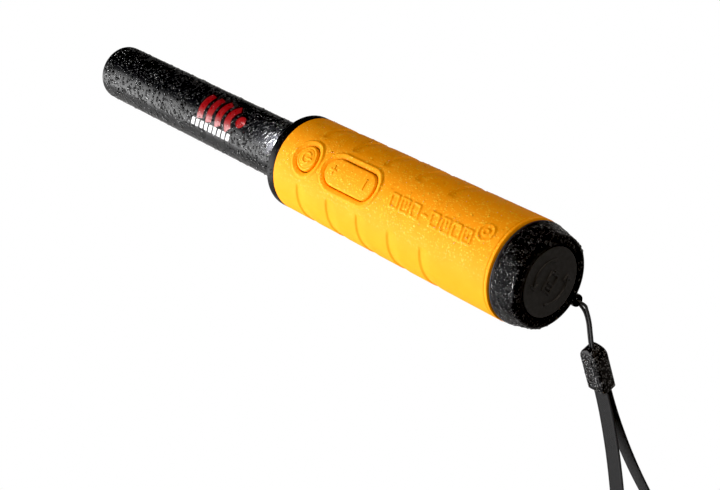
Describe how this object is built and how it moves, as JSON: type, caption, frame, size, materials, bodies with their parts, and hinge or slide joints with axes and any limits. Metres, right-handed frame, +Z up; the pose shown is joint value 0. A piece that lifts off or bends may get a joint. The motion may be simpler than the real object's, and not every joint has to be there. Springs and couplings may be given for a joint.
{
  "type": "pinpointer probe",
  "caption": "Handheld pinpointer probe with a black sensing tube, rubber grip, push buttons, torch, screw battery cap and wrist lanyard.",
  "frame": {"origin": "point on the tube's axis at the middle of the grip, where the palm closes on it", "axes": "+X along the tube towards the battery cap, +Z up; the button line is rolled 30 degrees from +Z towards -Y and the lanyard hangs along -Z"},
  "size_m": [0.2556, 0.0454, 0.2158],
  "materials": {
    "probe_plastic": "fine satin",
    "shell_plastic": "satin",
    "clear_lens": "clear",
    "led_body": "clear epoxy",
    "ferrite": "matt ceramic",
    "bobbin_plastic": "satin",
    "copper": "enamelled wire",
    "frame_plastic": "satin",
    "seal_rubber": "smooth",
    "grip_rubber": "soft satin",
    "button_rubber": "soft satin",
    "carbon": "matt",
    "board": "solder mask",
    "gold": "polished",
    "chip_plastic": "moulded epoxy",
    "capacitor_can": "sleeved",
    "steel": "bright",
    "battery_jacket": "printed jacket",
    "lead_black_plastic": "smooth",
    "lead_red_plastic": "smooth",
    "cap_plastic": "glossy",
    "badge_plastic": "matt",
    "foam": "foam",
    "cord_nylon": "braided",
    "slider_plastic": "satin gloss",
    "webbing": "woven"
  },
  "bodies": {
    "handle": {"probe_tube": "probe_plastic", "front_collar": "shell_plastic", "torch_lens": "clear_lens", "torch_led": "led_body", "ferrite_core": "ferrite", "coil_bobbin": "bobbin_plastic", "transmit_coil": "copper", "receive_coil_front": "copper", "receive_coil_rear": "copper", "probe_bulkhead": "frame_plastic", "coil_leads": "copper", "probe_oring": "seal_rubber", "housing": "shell_plastic", "neck_ring": "shell_plastic", "grip_sleeve": "grip_rubber", "button_frame": "frame_plastic", "main_pcb": "board", "contact_pads": "gold", "microcontroller": "chip_plastic", "analog_chips": "chip_plastic", "coil_driver": "chip_plastic", "capacitors": "capacitor_can", "crystal": "steel", "pcb_screws": "steel", "chassis": "frame_plastic", "piezo_sounder": "gold", "vibration_motor": "steel", "bay_bulkhead": "frame_plastic", "battery": "battery_jacket", "battery_terminals": "steel", "snap_connector": "lead_black_plastic", "lead_red": "lead_red_plastic", "lead_black": "lead_black_plastic"},
    "power_key": {"power_button": "button_rubber", "power_pill": "carbon"},
    "function_key": {"function_rocker": "button_rubber", "rocker_pills": "carbon"},
    "vibrator": {"vibration_shaft": "steel", "vibration_weight": "steel"},
    "gasket": {"cap_gasket": "seal_rubber"},
    "cap": {"battery_cap": "cap_plastic", "cap_badge": "badge_plastic", "battery_pad": "foam"},
    "lanyard": {"lanyard_cord": "cord_nylon", "lanyard_slider": "slider_plastic", "lanyard_strap": "webbing"}
  },
  "joints": [
    {"name": "power_press", "type": "slide", "parent": "handle", "child": "power_key", "axis": [0, 0.5, -0.866], "range_m": [0, 0.0008], "stiffness_N_per_m": 1500},
    {"name": "rocker_tilt", "type": "hinge", "parent": "handle", "child": "function_key", "pos_m": [-0.0184, -0.008, 0.01386], "axis": [0, 0.866, 0.5], "range_deg": [-3, 3], "stiffness_Nm_per_rad": 0.45},
    {"name": "vibration_spin", "type": "hinge", "parent": "handle", "child": "vibrator", "pos_m": [-0.04, 0.00275, -0.00476], "axis": [1, 0, 0], "continuous": true},
    {"name": "cap_lift", "type": "slide", "parent": "handle", "child": "gasket", "axis": [1, 0, 0], "range_m": [0, 0.00401]},
    {"name": "cap_turn", "type": "hinge", "parent": "gasket", "child": "cap", "pos_m": [0.061, 0, 0], "axis": [1, 0, 0], "range_deg": [0, 720]},
    {"name": "lanyard_swing", "type": "hinge", "parent": "cap", "child": "lanyard", "pos_m": [0.0665, 0.0092, -0.01594], "axis": [1, 0, 0], "range_deg": [-45, 90]}
  ],
  "couplings": [
    {"joint": "cap_lift", "follows": "cap_turn", "m_per_rad": 0.00031831}
  ]
}
